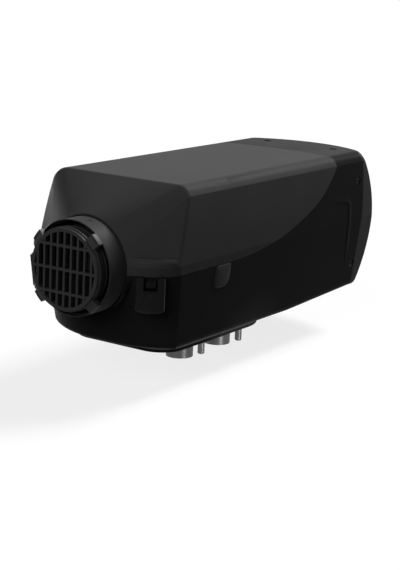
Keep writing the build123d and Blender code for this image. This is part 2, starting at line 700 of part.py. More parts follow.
def make_side_channel_cover():
    """Plate behind the impeller with its side channel."""
    plate = disc(HOUSING_R, HOUSING_X[1] + 14, HOUSING_X[1] + 22)
    channel = ring(26, 17, HOUSING_X[1] + 13, HOUSING_X[1] + 17)
    stop = block(HOUSING_X[1] + 13, HOUSING_X[1] + 17, -6, 6, AXIS_Z - 30, AXIS_Z - 10)
    port = disc(5, HOUSING_X[1] + 13, HOUSING_X[1] + 23, *AIR_PORT)
    return plate - (channel - stop) - port


def make_hot_air_fan():
    """Hub with twisted blades."""
    x0, x1 = FAN_X
    hub = disc(FAN_HUB_R, x0, x1)
    hub = fillet(hub.edges().group_by(Axis.X)[0], 4)
    fan = hub
    for i in range(FAN_BLADES):
        fan += fan_blade().rotate(Axis((0, 0, AXIS_Z), (1, 0, 0)), 360 / FAN_BLADES * i)
    return fan - disc(SHAFT_R, x0 - 1, x1 + 1)


def fan_blade():
    """Blade that stands up from the hub and flattens towards its tip."""
    middle = (FAN_X[0] + FAN_X[1]) / 2

    def section(radius, chord, pitch):
        place = Plane(origin=(middle, 0, AXIS_Z + radius), x_dir=(1, 0, 0), z_dir=(0, 0, 1))
        return place * Rot(0, 0, pitch) * Rectangle(chord, 1.6)

    return loft([section(FAN_HUB_R - 2, 18, 32), section(FAN_R, 21, 58)], ruled=True)


def make_combustion_impeller():
    """Disc with a ring of pockets between radial vanes."""
    x0, x1 = IMPELLER_X
    wheel = disc(IMPELLER_R, x0, x1) - ring(27, 16.5, x1 - 5, x1 + 1)
    for i in range(IMPELLER_VANES):
        vane = block(x1 - 5.5, x1, -0.7, 0.7, AXIS_Z + 16, AXIS_Z + 27.5)
        wheel += vane.rotate(Axis((0, 0, AXIS_Z), (1, 0, 0)), 360 / IMPELLER_VANES * i)
    return wheel - disc(SHAFT_R, x0 - 1, x1 + 1)


def make_blower_gasket():
    return ring(HOUSING_R, 24, HOUSING_X[1] + 22, CHAMBER_X[0])


# ---- burner ----
def make_combustion_air_housing():
    x0, x1 = CHAMBER_X
    pot = disc(HOUSING_R, x0, x1) - disc(HOUSING_R - 3, x0 + 3, x1 + 1)
    pot -= disc(9, x0 - 1, x0 + 4, *AIR_PORT)
    return pot - post(PIPE_BORE_R, AIR_PIPE_X, 0, 0, AXIS_Z)


def make_burner_gasket():
    return ring(HOUSING_R, 30, CHAMBER_X[1], FLANGE_X[0])


def make_burner_flange():
    """Flange that carries the combustion tube, with swirl slots round its middle."""
    flange = disc(CORE_R, *FLANGE_X) - disc(7, FLANGE_X[0] - 1, FLANGE_X[1] + 1)
    for i in range(8):
        slot = block(FLANGE_X[0] - 1, FLANGE_X[1] + 1, -1.5, 1.5, AXIS_Z + 11, AXIS_Z + 20)
        flange -= slot.rotate(Axis((0, 0, AXIS_Z), (1, 0, 0)), 45 * i)
    return flange


def make_combustion_tube():
    """Steel tube with rows of air holes."""
    tube = ring(TUBE_R, TUBE_R - 1.5, *TUBE_X)
    for x in (22, 40):
        for i in range(4):
            hole = post(2.6, x, 0, AXIS_Z - 30, AXIS_Z + 30)
            tube -= hole.rotate(Axis((0, 0, AXIS_Z), (1, 0, 0)), 45 * i)
    return tube - post(4.6, GLOW_X, 0, AXIS_Z, AXIS_Z + 40)


def make_spray_gauze():
    return ring(TUBE_R - 1.5, TUBE_R - 3.0, -2, 16) - post(4.6, GLOW_X, 0, AXIS_Z, AXIS_Z + 40)


def make_glow_plug():
    body = post(4.5, GLOW_X, 0, AXIS_Z + 22, AXIS_Z + 47)
    hexagon = extrude(Plane.XY.offset(AXIS_Z + CORE_R + 0.5) * Pos(GLOW_X, 0) * RegularPolygon(6, 6), 6)
    tip = post(2.2, GLOW_X, 0, AXIS_Z + 10, AXIS_Z + 22)
    return body + hexagon + tip


def make_glow_plug_seal():
    cap = post(7, GLOW_X, 0, AXIS_Z + 47, AXIS_Z + 53)
    return fillet(cap.edges().group_by(Axis.Z)[-1], 2)


# ---- heat exchanger ----
def make_heat_exchanger():
    """Finned casting, closed at its back by a dome, with its lower sector free for the saddles."""
    x0, x1 = CORE_X
    core = disc(CORE_R, x0, x1)
    core = fillet(core.edges().group_by(Axis.X)[-1], 14)
    core += fin_star() - block(68, 86, -5, 5, AXIS_Z + CORE_R, AXIS_Z + FIN_R + 2)
    core -= disc(CORE_BORE_R, x0 - 1, x1 - 6)
    core -= post(PIPE_BORE_R, EXHAUST_X, 0, 0, AXIS_Z)
    core -= post(4.5, GLOW_X, 0, AXIS_Z, 140)
    return core - post(FUEL_BORE_R, FUEL_X, FUEL_Y, 0, AXIS_Z)


def fin_star():
    """Radial fins along the core, none at the very top nor in the lower sector."""
    step = 360 / FIN_COUNT
    fins = None
    for i in range(FIN_COUNT):
        angle = step * i
        if 228 < angle < 312:
            continue
        fin = block(FIN_X[0], FIN_X[1], CORE_R - 1.5, FIN_R, AXIS_Z - FIN_T / 2, AXIS_Z + FIN_T / 2)
        fin = fin.rotate(Axis((0, 0, AXIS_Z), (1, 0, 0)), angle)
        fins = fin if fins is None else fins + fin
    return fins


def make_temperature_sensor():
    return block(70, 84, -3, 3, AXIS_Z + CORE_R, AXIS_Z + CORE_R + 5)


def make_sensor_clip():
    """Sprung strap over the sensor."""
    z = AXIS_Z + CORE_R
    strap = block(74, 80, -4.0, 4.0, z, z + 6) - block(73, 81, -3.05, 3.05, z - 1, z + 5.05)
    return strap


# ---- control unit ----
def make_control_unit_case():
    x0, x1 = MODULE_X
    tray = block(x0, x1, -MODULE_HALF, MODULE_HALF, MODULE_Z, MODULE_LID_Z)
    tray = fillet(tray.edges().filter_by(Axis.Z), 4)
    inside = MODULE_HALF - 2.5
    return tray - block(x0 + 2.5, x1 - 2.5, -inside, inside, MODULE_Z + 2.5, MODULE_LID_Z + 1)


def make_control_unit_lid():
    half = MODULE_HALF + 1
    lid = block(MODULE_X[0] - 1, MODULE_X[1] + 1, -half, half, MODULE_LID_Z, MODULE_LID_Z + 2.5)
    return fillet(lid.edges().filter_by(Axis.Z), 4.5)


def make_control_unit_connector():
    plug = block(MODULE_X[0] + 11, MODULE_X[0] + 44, MODULE_HALF, MODULE_HALF + 8, MODULE_Z + 2.5, MODULE_Z + 12.5)
    return fillet(plug.edges().filter_by(Axis.Z), 1.5)


def write(name, shape):
    export_step(shape, f"parts/{name}.step")


os.makedirs("parts", exist_ok=True)
WALLS = (case_form(0) - case_form(WALL)) & case_zone(-SEAM_GAP / 2)
write("upper_cover", make_upper_cover(WALLS))
write("lower_shell", make_lower_shell(WALLS))
write("outlet_hood", make_outlet_hood())
write("outlet_collar", make_outlet_collar())
write("hood_screws", make_hood_screws())
write("blanking_plug", make_blanking_plug())
write("cable_grommet", make_cable_grommet())
write("cover_clip_near", make_cover_clip(-1))
write("cover_clip_far", make_cover_clip(1))
write("intake_collar", make_intake_collar())
write("intake_grille", make_intake_grille())
write("mounting_foot", make_mounting_foot())
write("foot_gasket", make_foot_gasket())
write("mounting_studs", make_mounting_studs())
write("exhaust_pipe", make_stub(EXHAUST_X, CORE_R))
write("combustion_air_pipe", make_stub(AIR_PIPE_X, HOUSING_R))
write("fuel_pipe", make_fuel_pipe())
write("motor_shaft", make_motor_shaft())
write("front_bearing", make_bearing(HOUSING_X[0] + 1))
write("rear_bearing", make_bearing(REAR_BEARING_X))
write("rotor_magnet", make_rotor_magnet())
write("motor_stator", make_motor_stator())
write("blower_housing", make_blower_housing())
write("side_channel_cover", make_side_channel_cover())
write("hot_air_fan", make_hot_air_fan())
write("combustion_impeller", make_combustion_impeller())
write("blower_gasket", make_blower_gasket())
write("combustion_air_housing", make_combustion_air_housing())
write("burner_gasket", make_burner_gasket())
write("burner_flange", make_burner_flange())
write("combustion_tube", make_combustion_tube())
write("spray_gauze", make_spray_gauze())
write("glow_plug", make_glow_plug())
write("glow_plug_seal", make_glow_plug_seal())
write("heat_exchanger", make_heat_exchanger())
write("temperature_sensor", make_temperature_sensor())
write("sensor_clip", make_sensor_clip())
write("control_unit_case", make_control_unit_case())
write("control_unit_lid", make_control_unit_lid())
write("control_unit_connector", make_control_unit_connector())
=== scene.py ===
# %% [markdown]
# # Diesel air heater
# This is a heater for a van or a boat: a square case with a round intake in front, pipe stubs and
# studs below, and a blower, a burner and a finned heat exchanger inside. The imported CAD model
# comes in first. It is the fixed frame: every piece keeps its place and size, and this file only
# gives it its looks. Lengths are metres, or millimetres where a comment says so. +X runs with the
# air flow from the round grille to the domed back, -Y is the side with the blanking plug, and +Z
# is up.

# %% Load the frame
import math

import bmesh
import bpy
import numpy
from mathutils import Matrix, Vector
from mathutils.bvhtree import BVHTree


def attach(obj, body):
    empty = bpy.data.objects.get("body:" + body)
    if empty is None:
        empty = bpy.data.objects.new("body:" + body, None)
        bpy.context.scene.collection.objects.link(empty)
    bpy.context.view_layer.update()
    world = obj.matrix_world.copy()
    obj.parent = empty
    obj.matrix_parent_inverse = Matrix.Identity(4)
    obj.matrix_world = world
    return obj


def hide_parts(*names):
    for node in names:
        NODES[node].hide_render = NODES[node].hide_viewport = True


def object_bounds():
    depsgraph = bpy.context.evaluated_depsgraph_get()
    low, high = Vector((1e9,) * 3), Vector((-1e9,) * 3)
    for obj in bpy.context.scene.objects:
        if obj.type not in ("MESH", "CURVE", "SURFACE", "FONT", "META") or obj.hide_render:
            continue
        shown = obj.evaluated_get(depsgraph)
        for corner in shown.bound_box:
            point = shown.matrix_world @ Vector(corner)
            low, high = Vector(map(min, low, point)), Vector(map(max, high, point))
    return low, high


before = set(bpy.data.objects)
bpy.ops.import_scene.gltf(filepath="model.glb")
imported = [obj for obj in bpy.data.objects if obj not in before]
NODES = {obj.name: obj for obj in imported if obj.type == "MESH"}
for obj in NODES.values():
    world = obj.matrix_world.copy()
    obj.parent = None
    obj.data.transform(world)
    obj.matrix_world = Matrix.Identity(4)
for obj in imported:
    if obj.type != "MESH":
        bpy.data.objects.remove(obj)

CAD_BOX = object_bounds()
MM = 0.001
print("CAD pieces:", len(NODES), "box:", [[round(v, 4) for v in corner] for corner in CAD_BOX])

# %% [markdown]
# ## Camera
# The photograph looks at the heater from the front left and a little from above, with a long
# lens, so that parallel edges nearly stay parallel. A constraint could point the camera at the
# heater, but it leaves no say in the roll. So the camera's three axes are worked out from a turn,
# a drop and a roll, and go straight into its matrix. The sensor is fitted by its height, because
# the picture stands upright.

# %% Camera
CAMERA_PLACE = Vector((-1.03946, -0.69661, 0.32308))
CAMERA_TURN = math.radians(33.732)     # from +X towards +Y
CAMERA_DROP = math.radians(13.187)     # below the horizon
CAMERA_ROLL = math.radians(2.485)
CAMERA_LENS = 93.01                    # millimetres
SENSOR_HEIGHT = 36.0                   # millimetres


def camera_axes():
    """Right, up and forward of a camera with the turn, drop and roll above."""
    forward = Vector((
        math.cos(CAMERA_TURN) * math.cos(CAMERA_DROP),
        math.sin(CAMERA_TURN) * math.cos(CAMERA_DROP),
        -math.sin(CAMERA_DROP),
    ))
    level_right = Vector((math.sin(CAMERA_TURN), -math.cos(CAMERA_TURN), 0))
    level_up = level_right.cross(forward)
    right = level_right * math.cos(CAMERA_ROLL) + level_up * math.sin(CAMERA_ROLL)
    up = level_up * math.cos(CAMERA_ROLL) - level_right * math.sin(CAMERA_ROLL)
    return right, up, forward


def add_camera():
    """Camera at its place, with its three axes as the columns of its matrix."""
    data = bpy.data.cameras.new("camera")
    data.sensor_fit = "VERTICAL"
    data.sensor_height = SENSOR_HEIGHT
    data.lens = CAMERA_LENS
    camera = bpy.data.objects.new("camera", data)
    bpy.context.scene.collection.objects.link(camera)
    right, up, forward = camera_axes()
    turn = Matrix((right, up, -forward)).transposed()
    camera.matrix_world = Matrix.Translation(CAMERA_PLACE) @ turn.to_4x4()
    bpy.context.scene.camera = camera
    return camera


camera = add_camera()
print("camera at", tuple(camera.location), "lens", camera.data.lens)

# %% [markdown]
# ## Floor
# The heater stands in a white studio. A plain white floor would throw much light up at the
# underside, so the floor has two tones: the camera, and every glossy or clear surface, sees one
# that is nearly white, while the light that it sends up is that of a greyer floor. The Light Path
# node tells the kinds of ray apart, so the picture gets its white ground without more light on
# the heater. The floor still darkens where the heater keeps the lamps off it.

# %% Floor material
FLOOR_SEEN = 0.97          # tone of the floor in the picture
FLOOR_BOUNCE = 0.10        # tone of the floor for the light it sends up
FLOOR_GLOW = 0.80          # share of plain white, which keeps the shadow soft
FLOOR_ROUGHNESS = 0.9


def new_material(name):
    """Node material with its Principled shader; returns material, nodes, links, shader."""
    material = bpy.data.materials.new(name)
    material.use_nodes = True
    nodes = material.node_tree.nodes
    return material, nodes, material.node_tree.links, nodes["Principled BSDF"]


def seen_rays(nodes, links):
    """1 for camera, glossy and transmission rays, 0 for the diffuse light between surfaces."""
    path = nodes.new("ShaderNodeLightPath")
    seen = path.outputs["Is Camera Ray"]
    for kind in ("Is Glossy Ray", "Is Transmission Ray"):
        either = nodes.new("ShaderNodeMath")
        either.operation = "MAXIMUM"
        links.new(seen, either.inputs[0])
        links.new(path.outputs[kind], either.inputs[1])
        seen = either.outputs[0]
    return seen


def blend_colours(nodes, links, factor, first, second):
    """Colour between two, by a factor; each is a colour or another node's output."""
    mix = nodes.new("ShaderNodeMix")
    mix.data_type = "RGBA"
    links.new(factor, mix.inputs["Factor"])
    for socket, colour in (("A", first), ("B", second)):
        if hasattr(colour, "links"):
            links.new(colour, mix.inputs[socket])
        else:
            mix.inputs[socket].default_value = (*colour, 1)
    return mix.outputs["Result"]


def blend_shaders(nodes, links, factor, first, second):
    """Shader between two, by a factor."""
    mix = nodes.new("ShaderNodeMixShader")
    links.new(factor, mix.inputs["Fac"])
    links.new(first, mix.inputs[1])
    links.new(second, mix.inputs[2])
    return mix.outputs["Shader"]


def floor_material():
    """Matt floor with one tone to look at and another for the light it sends up."""
    material, nodes, links, shader = new_material("studio_floor")
    seen = seen_rays(nodes, links)
    tone = blend_colours(nodes, links, seen, [FLOOR_BOUNCE] * 3, [FLOOR_SEEN] * 3)
    links.new(tone, shader.inputs["Base Color"])
    shader.inputs["Roughness"].default_value = FLOOR_ROUGHNESS
    shader.inputs["Specular IOR Level"].default_value = 0.0
    share = nodes.new("ShaderNodeMath")
    share.operation = "MULTIPLY"
    share.inputs[1].default_value = FLOOR_GLOW
    links.new(seen, share.inputs[0])
    white = nodes.new("ShaderNodeEmission")
    surface = blend_shaders(nodes, links, share.outputs[0], shader.outputs["BSDF"],
                            white.outputs["Emission"])
    links.new(surface, nodes["Material Output"].inputs["Surface"])
    return material


floor_paint = floor_material()
print("floor tone", FLOOR_SEEN, "in the picture,", FLOOR_BOUNCE, "for the light it sends up")

# %% Floor
FLOOR_HALF = 40.0
FLOOR_GAP = 0.2 * MM       # just below the lowest piece, so that the two never share a plane
FLOOR_HEIGHT = CAD_BOX[0][2] - FLOOR_GAP


def add_floor():
    """One large square under the heater, which isn't part of it."""
    corners = [(-FLOOR_HALF, -FLOOR_HALF), (FLOOR_HALF, -FLOOR_HALF), (FLOOR_HALF, FLOOR_HALF),
               (-FLOOR_HALF, FLOOR_HALF)]
    mesh = bpy.data.meshes.new("studio_floor")
    mesh.from_pydata([(x, y, FLOOR_HEIGHT) for x, y in corners], [], [(0, 1, 2, 3)])
    mesh.materials.append(floor_paint)
    floor = bpy.data.objects.new("studio_floor", mesh)
    bpy.context.scene.collection.objects.link(floor)
    return floor


floor = add_floor()
print(floor.name, "at height", round(FLOOR_HEIGHT, 4))

# %% [markdown]
# ## World
# The world is the light that comes from all round. A single grey would make a grey background and
# grey reflections. So it is plain white where it is seen or mirrored, and a much weaker grey for
# the light that it throws on surfaces, told apart by the same node as the floor's two tones.

# %% World
WORLD_LIGHT = 0.06
WORLD_SEEN = 1.0
WHITE = (1, 1, 1, 1)


def add_world():
    """White backdrop for the eye, weak light for the surfaces."""
    world = bpy.data.worlds.new("studio")
    world.use_nodes = True
    nodes, links = world.node_tree.nodes, world.node_tree.links
    light = nodes["Background"]
    light.inputs["Color"].default_value = WHITE
    light.inputs["Strength"].default_value = WORLD_LIGHT
    backdrop = nodes.new("ShaderNodeBackground")
    backdrop.inputs["Color"].default_value = WHITE
    backdrop.inputs["Strength"].default_value = WORLD_SEEN
    surface = blend_shaders(nodes, links, seen_rays(nodes, links), light.outputs["Background"],
                            backdrop.outputs["Background"])
    links.new(surface, nodes["World Output"].inputs["Surface"])
    bpy.context.scene.world = world
    return world


world = add_world()
bpy.context.scene.view_settings.view_transform = "Standard"
print("world:", world.name, "light", WORLD_LIGHT, "seen", WORLD_SEEN)

# %% [markdown]
# ## Lamps
# Area lamps are the usual studio choice, but their light falls off with distance and leaves the
# floor uneven. A sun has no falloff, so the floor keeps one tone to the horizon. The key light is
# a soft sun above and behind the heater: the top faces and the bevel get most of it and the
# upright walls little, as in the photograph. A weaker sun from the front fills the nose, and
# another reaches the side that the camera doesn't see, so that the heater reads from every angle.
# One small spot just above the floor puts the bright streak on the turned pipes.

# %% Lamps
# name, direction that the light comes from, width of the sun in degrees, strength
SUNS = (
    ("key_lamp", (0.8, -0.14, 0.8), 20, 4.0),
    ("fill_lamp", (-0.9, -0.08, 0.5), 40, 1.15),
    ("side_lamp", (0.55, 1.0, 0.06), 14, 1.7),
)
PIPE_LAMP_PLACE = Vector((-0.14, -0.52, -0.012))
PIPE_LAMP_TARGET = Vector((0.01, 0.0, -0.030))
PIPE_LAMP_POWER = 10.0
PIPE_LAMP_CONE = 10.5      # degrees
PIPE_LAMP_FADE = 0.7       # share of the cone over which the light fades out
PIPE_LAMP_RADIUS = 0.03


def add_lamp(name, kind, source, strength):
    """Lamp whose light comes from the direction of its source."""
    data = bpy.data.lights.new(name, kind)
    data.energy = strength
    lamp = bpy.data.objects.new(name, data)
    bpy.context.scene.collection.objects.link(lamp)
    lamp.rotation_euler = Vector(source).to_track_quat("Z", "Y").to_euler()
    print(name, kind, "strength", strength)
    return lamp


for name, source, width, strength in SUNS:
    sun = add_lamp(name, "SUN", source, strength)
    sun.data.angle = math.radians(width)

pipe_lamp = add_lamp("pipe_lamp", "SPOT", PIPE_LAMP_PLACE - PIPE_LAMP_TARGET, PIPE_LAMP_POWER)
pipe_lamp.location = PIPE_LAMP_PLACE
pipe_lamp.data.spot_size = math.radians(PIPE_LAMP_CONE)
pipe_lamp.data.spot_blend = PIPE_LAMP_FADE
pipe_lamp.data.shadow_soft_size = PIPE_LAMP_RADIUS

# %% [markdown]
# ## Moulded plastics
# The case, grille, collars and clips are injection moulded black plastic with a fine spark-eroded
# grain. One flat black would look like a cut-out, and a painted texture would need UV maps. So
# each finish is made of noise in the object's own coordinates, at the scale of the real thing: a
# fine noise in the bump for the grain, and a broad one that varies tone and gloss a little, as
# moulding and handling do. The Bevel node gives the edges a small radius in the shading, and
# where it bends the surface the colour is made a little paler. One function makes all the
# plastics from a few numbers.

# %% Noise
MOTTLE_WAVES = 18          # waves per metre of the broad noise
GRAIN_WAVES = 1400         # waves per metre of the fine noise
ALL_WAYS = (1, 1, 1)       # a noise that isn't stretched


def noise(nodes, links, waves, detail, stretch=ALL_WAYS):
    """Noise in the object's own coordinates, with some waves per metre."""
    place = nodes.new("ShaderNodeTexCoord")
    reach = nodes.new("ShaderNodeMapping")
    reach.inputs["Scale"].default_value = stretch
    links.new(place.outputs["Object"], reach.inputs["Vector"])
    pattern = nodes.new("ShaderNodeTexNoise")
    pattern.inputs["Scale"].default_value = waves
    pattern.inputs["Detail"].default_value = detail
    links.new(reach.outputs["Vector"], pattern.inputs["Vector"])
    return pattern.outputs["Fac"]


def spread(nodes, links, value, low, high, start=0.0, end=1.0):
    """Value from start..end mapped to low..high."""
    span = nodes.new("ShaderNodeMapRange")
    span.inputs["From Min"].default_value = start
    span.inputs["From Max"].default_value = end
    span.inputs["To Min"].default_value = low
    span.inputs["To Max"].default_value = high
    links.new(value, span.inputs["Value"])
    return span.outputs["Result"]


print("mottle every", round(1000 / MOTTLE_WAVES), "mm, grain every", round(1000 / GRAIN_WAVES, 1), "mm")

# %% Rounded edges and bump
EDGE_SAMPLES = 4
EDGE_AGREE = 0.75          # the two normals agree this little where an edge's colour is palest


def rounded_edge(nodes, links, radius):
    """Shading normal with rounded edges, and a mask that is 1 on those edges."""
    bevel = nodes.new("ShaderNodeBevel")
    bevel.samples = EDGE_SAMPLES
    bevel.inputs["Radius"].default_value = radius
    flat = nodes.new("ShaderNodeNewGeometry")
    agree = nodes.new("ShaderNodeVectorMath")
    agree.operation = "DOT_PRODUCT"
    links.new(bevel.outputs["Normal"], agree.inputs[0])
    links.new(flat.outputs["Normal"], agree.inputs[1])
    paled = spread(nodes, links, agree.outputs["Value"], 1, 0, EDGE_AGREE, 1.0)
    return bevel.outputs["Normal"], paled


def grained(nodes, links, height, strength, depth, normal):
    """Bump from a height, on top of another normal."""
    bump = nodes.new("ShaderNodeBump")
    bump.inputs["Strength"].default_value = strength
    bump.inputs["Distance"].default_value = depth
    links.new(height, bump.inputs["Height"])
    links.new(normal, bump.inputs["Normal"])
    return bump.outputs["Normal"]


print("an edge is fully worn where it turns by", round(math.degrees(math.acos(EDGE_AGREE))), "degrees")

# %% Moulded plastic
MOTTLE_DARK = 0.86         # the tone is multiplied by these two across the broad noise
MOTTLE_PALE = 1.14
GLOSS_SWING = 0.07         # roughness goes up and down by this much
EDGE_PALE_TIMES = 1.5           # a paler edge is the tone times this, plus a little
EDGE_PALE_MORE = 0.003
EDGE_PALE_SHARE = 0.5
GRAIN_DEPTH = 0.05 * MM


def moulded_plastic(name, tone, roughness, grain, gloss, edge):
    """Black plastic with mottled tone, fine grain, and edges a little paler in colour."""
    material, nodes, links, shader = new_material(name)
    broad = noise(nodes, links, MOTTLE_WAVES, detail=4)
    fine = noise(nodes, links, GRAIN_WAVES, detail=3)
    dark = [c * MOTTLE_DARK for c in tone]
    pale = [c * MOTTLE_PALE for c in tone]
    base = blend_colours(nodes, links, broad, dark, pale)
    normal, paled = rounded_edge(nodes, links, edge)
    # the edges that the Bevel node finds get a paler colour, up to the share below
    edge_paling = spread(nodes, links, paled, 0, EDGE_PALE_SHARE)
    colour = blend_colours(nodes, links, edge_paling, base, [c * EDGE_PALE_TIMES + EDGE_PALE_MORE for c in tone])
    links.new(colour, shader.inputs["Base Color"])
    rough = spread(nodes, links, broad, roughness - GLOSS_SWING, roughness + GLOSS_SWING)
    links.new(rough, shader.inputs["Roughness"])
    normal = grained(nodes, links, fine, grain, GRAIN_DEPTH, normal)
    links.new(normal, shader.inputs["Normal"])
    shader.inputs["Specular IOR Level"].default_value = gloss
    return material


print("plastic roughness swings by", GLOSS_SWING, "and its grain is", round(GRAIN_DEPTH / MM, 3), "mm deep")

# %% The heater's plastics
# name, tone, roughness, strength of the grain, gloss, edge radius in millimetres, CAD pieces
PLASTICS = (
    ("case_plastic", (0.050, 0.050, 0.051), 0.45, 0.35, 0.0075, 0.35, ("upper_cover",)),
    # the shell's tone, about a third of the case's, is painted shade for its low walls, which get less light
    # than the cover
    ("shell_plastic", (0.0155, 0.0155, 0.0158), 0.34, 0.3, 0.0045, 0.22, ("lower_shell",)),
    ("hood_plastic", (0.050, 0.050, 0.051), 0.45, 0.35, 0.015, 0.35, ("outlet_hood",)),
    ("collar_plastic", (0.037, 0.037, 0.0375), 0.5, 0.3, 0.025, 0.35, ("intake_collar", "outlet_collar")),
    ("grille_plastic", (0.030, 0.030, 0.0305), 0.45, 0.25, 0.08, 0.35, ("intake_grille",)),
    ("clip_plastic", (0.010, 0.010, 0.0102), 0.4, 0.3, 0.05, 0.35, ("cover_clip_near", "cover_clip_far")),
    ("fan_plastic", (0.012, 0.012, 0.012), 0.5, 0.2, 0.2, 0.35, ("hot_air_fan",)),
    ("impeller_plastic", (0.016, 0.015, 0.014), 0.5, 0.2, 0.2, 0.35, ("combustion_impeller",)),
    ("module_plastic", (0.018, 0.018, 0.019), 0.5, 0.2, 0.3, 0.35, ("control_unit_case", "control_unit_lid")),
    ("connector_plastic", (0.30, 0.29, 0.26), 0.42, 0.15, 0.4, 0.35, ("control_unit_connector",)),
)
FINISHES = {}


def dress(finish, material, pieces):
    """Gives CAD pieces a material, and keeps it by its finish for the pieces made below."""
    FINISHES[finish] = material
    for piece in pieces:
        mesh = NODES[piece].data
        mesh.materials.clear()
        mesh.materials.append(material)
    print(finish, "on", ", ".join(pieces))


for name, tone, roughness, grain, gloss, edge, pieces in PLASTICS:
    plastic = moulded_plastic(name, tone, roughness, grain, gloss, edge * MM)
    dress(name, plastic, pieces)

# %% [markdown]
# ## Rubber
# The gaskets, the plug and the grommet are black rubber. Rubber could be a plastic with its gloss
# turned down, but it also carries a faint grey bloom in patches and looks dry at a grazing angle.
# So it has a function of its own: two tones blended by a noise with a hard threshold, a slightly
# wavy skin in the bump, and a little sheen for the dry look.

# %% Rubber
BLOOM_WAVES = 45
BLOOM_FROM = 0.35          # the noise passes from rubber to bloom between these two
BLOOM_FULL = 0.75
SKIN_WAVES = 700
SKIN_STRENGTH = 0.25
SKIN_DEPTH = 0.06 * MM
RUBBER_EDGE = 0.4 * MM
RUBBER_SMOOTHER = 0.05     # roughness goes down by the first and up by the second with the bloom
RUBBER_ROUGHER = 0.1
RUBBER_GLOSS = 0.04
RUBBER_SHEEN = 0.02
RUBBER_SHEEN_ROUGHNESS = 0.5
# name, tone, tone of the bloom, roughness, CAD pieces
RUBBERS = (
    ("plug_rubber", (0.022, 0.022, 0.022), (0.032, 0.032, 0.032), 0.6,
     ("blanking_plug", "cable_grommet")),
    ("gasket_rubber", (0.022, 0.022, 0.022), (0.036, 0.036, 0.035), 0.75,
     ("foot_gasket", "glow_plug_seal", "blower_gasket", "burner_gasket")),
)


def rubber(name, tone, bloom, roughness):
    """Dull black rubber with patches of pale bloom and a slightly wavy skin."""
    material, nodes, links, shader = new_material(name)
    patches = noise(nodes, links, BLOOM_WAVES, detail=5)
    skin = noise(nodes, links, SKIN_WAVES, detail=3)
    amount = spread(nodes, links, patches, 0, 1, BLOOM_FROM, BLOOM_FULL)
    links.new(blend_colours(nodes, links, amount, tone, bloom), shader.inputs["Base Color"])
    normal, _ = rounded_edge(nodes, links, RUBBER_EDGE)
    normal = grained(nodes, links, skin, SKIN_STRENGTH, SKIN_DEPTH, normal)
    links.new(normal, shader.inputs["Normal"])
    rough = spread(nodes, links, patches, roughness - RUBBER_SMOOTHER, roughness + RUBBER_ROUGHER)
    links.new(rough, shader.inputs["Roughness"])
    shader.inputs["Specular IOR Level"].default_value = RUBBER_GLOSS
    shader.inputs["Sheen Weight"].default_value = RUBBER_SHEEN
    shader.inputs["Sheen Roughness"].default_value = RUBBER_SHEEN_ROUGHNESS
    return material


for name, tone, bloom, roughness, pieces in RUBBERS:
    dress(name, rubber(name, tone, bloom, roughness), pieces)

# %% [markdown]
# ## Metals
# The castings are sand-blasted aluminium, dull and pitted. The pipe stubs are turned from tube,
# so fine rings run round them and they carry one bright streak along their length. Studs and
# screws are plated steel. Rings could be cut into the mesh, but they are far finer than a facet,
# so they are a noise stretched out along the tool's path, and an anisotropic gloss with its
# tangent round the Z axis draws the streak. All the metals come from one function, and differ in
# tone, in roughness and in which way their marks run.

# %% Metal
CLOUD_WAVES = 60           # waves per metre of the broad change of tone
CLOUD_DARK = 0.8           # the tone is multiplied by this in the darker clouds
MARK_SWING = 0.08          # roughness goes up and down by this much along the marks
MARK_STRENGTH = 0.3
METAL_EDGE = 0.3 * MM
PIT_WAVES = 350
PIT_DEPTH = 0.15 * MM
TURNED_STREAK = 0.8        # how far the gloss is drawn out across the rings
TURNED_QUARTER = 0.25      # a quarter turn, so that the streak runs along the pipe


def metal(name, tone, roughness, marks, stretch, depth, pits, turned):
    """Metal with tool marks as a stretched noise, and pits as a coarser one."""
    material, nodes, links, shader = new_material(name)
    lines = noise(nodes, links, marks, detail=3, stretch=stretch)
    cloud = noise(nodes, links, CLOUD_WAVES, detail=5)
    dull = [c * CLOUD_DARK for c in tone]
    links.new(blend_colours(nodes, links, cloud, dull, tone), shader.inputs["Base Color"])
    rough = spread(nodes, links, lines, roughness - MARK_SWING, roughness + MARK_SWING)
    links.new(rough, shader.inputs["Roughness"])
    normal, _ = rounded_edge(nodes, links, METAL_EDGE)
    if pits:
        holes = noise(nodes, links, PIT_WAVES, detail=6)
        normal = grained(nodes, links, holes, pits, PIT_DEPTH, normal)
    normal = grained(nodes, links, lines, MARK_STRENGTH, depth, normal)
    links.new(normal, shader.inputs["Normal"])
    shader.inputs["Metallic"].default_value = 1.0
    if turned:
        shader.inputs["Anisotropic"].default_value = TURNED_STREAK
        shader.inputs["Anisotropic Rotation"].default_value = TURNED_QUARTER
        around = nodes.new("ShaderNodeTangent")
        around.direction_type = "RADIAL"
        around.axis = "Z"
        links.new(around.outputs["Tangent"], shader.inputs["Tangent"])
    return material


print("metal clouds every", round(1000 / CLOUD_WAVES), "mm, pits every", round(1000 / PIT_WAVES, 1), "mm")

# %% The heater's metals
ROUND_Z = (0.02, 0.02, 1)      # long across the pipe and short along it: rings round a Z axis
LAYERS_X = (1, 0.02, 0.02)     # thin layers stacked along X, as in a stator
